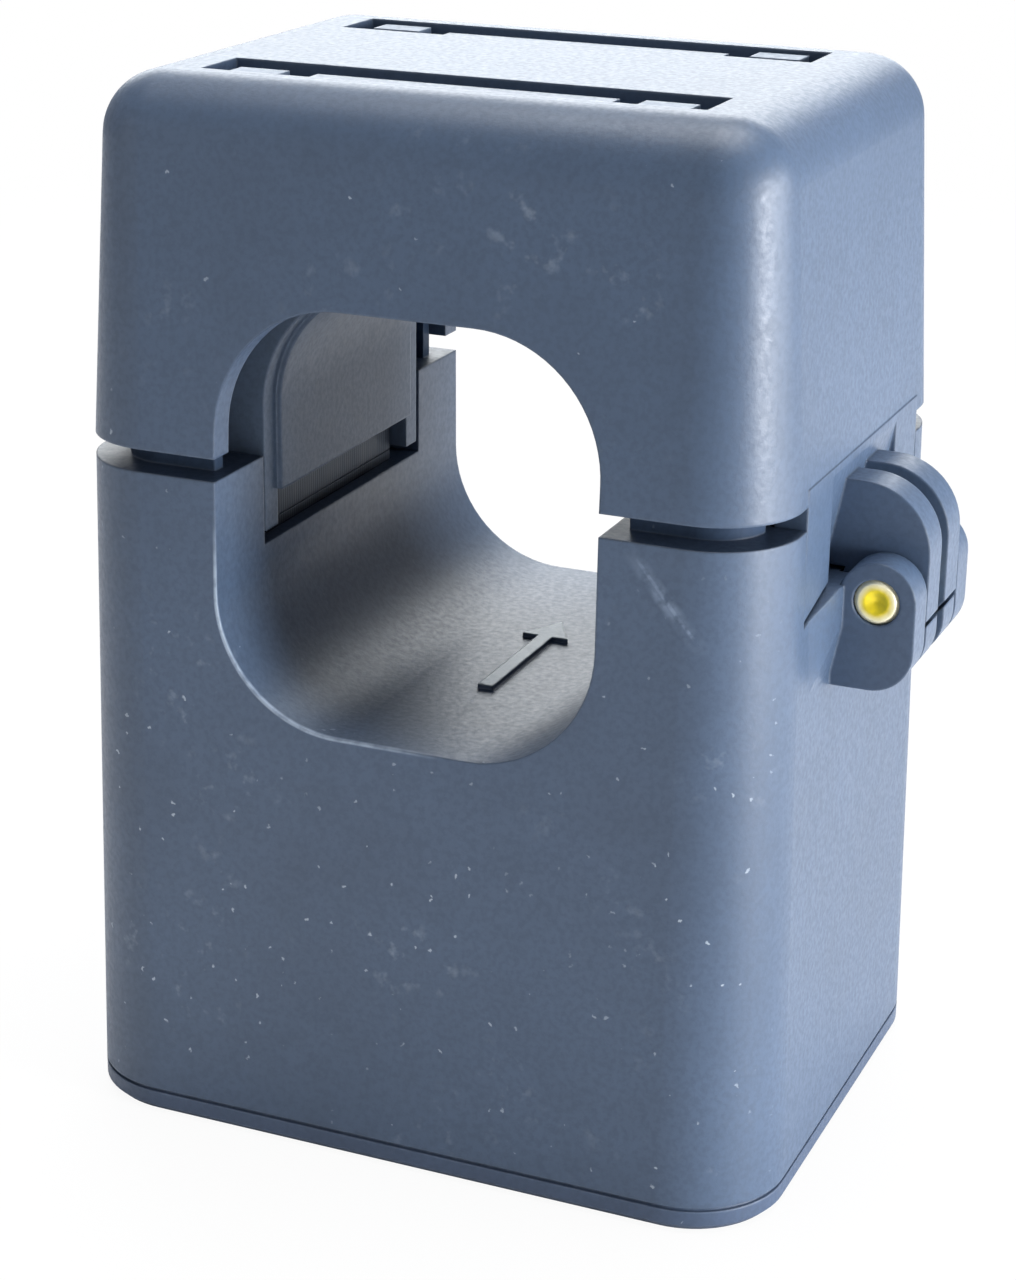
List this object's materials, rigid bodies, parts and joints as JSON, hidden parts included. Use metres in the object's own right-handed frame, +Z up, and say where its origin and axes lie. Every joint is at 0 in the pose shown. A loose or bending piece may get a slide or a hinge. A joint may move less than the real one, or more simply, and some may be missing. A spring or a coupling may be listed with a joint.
{
  "type": "split core current transformer",
  "caption": "Hinged split-core current transformer: a rectangular window with round corners passes a conductor, and a sprung upper core half swings open on a brass pin.",
  "frame": {"origin": "middle of the underside of the base plate, on the middle plane of the window", "axes": "+Z up from the base to the cap, +X across the window towards the hinge, +Y along the conductor, the way the arrow on the window floor points"},
  "size_m": [0.051, 0.0377, 0.0662],
  "materials": {
    "case_plastic": "fine moulded grain, satin",
    "holder_plastic": "plain moulded, satin",
    "core_steel": "varnished laminations, ground pole faces",
    "spring_steel": "bright spring strip",
    "bobbin_plastic": "plain moulded",
    "winding_copper": "enamelled wire",
    "tape": "thin polyester tape",
    "tinned_metal": "tinned",
    "board": "solder mask over glass-fibre board",
    "resistor_body": "lacquered",
    "diode_body": "moulded epoxy",
    "grommet_rubber": "soft rubber",
    "pin_brass": "turned, bright chamfered rim"
  },
  "bodies": {
    "case": {"case_shell": "case_plastic", "base_plate": "case_plastic", "lower_core": "core_steel", "bobbin": "bobbin_plastic", "winding": "winding_copper", "winding_tape": "tape", "terminal_pins": "tinned_metal", "circuit_board": "board", "burden_resistor": "resistor_body", "clamp_diodes": "diode_body", "lead_grommet": "grommet_rubber", "hinge_pin": "pin_brass"},
    "cap": {"cap_shell": "case_plastic", "core_spring": "spring_steel"},
    "core_carrier": {"core_holder": "holder_plastic", "upper_core": "core_steel"}
  },
  "joints": [
    {"name": "cap_hinge", "type": "hinge", "parent": "case", "child": "cap", "pos_m": [0.0253, 0, 0.0373], "axis": [0, 1, 0], "range_deg": [0, 70]},
    {"name": "core_float", "type": "slide", "parent": "cap", "child": "core_carrier", "axis": [0, 0, -1], "range_m": [0, 0.0005], "deforming": ["core_spring"]}
  ],
  "couplings": [
    {"joint": "core_float", "follows": "cap_hinge", "m_per_rad": 0.000409}
  ]
}
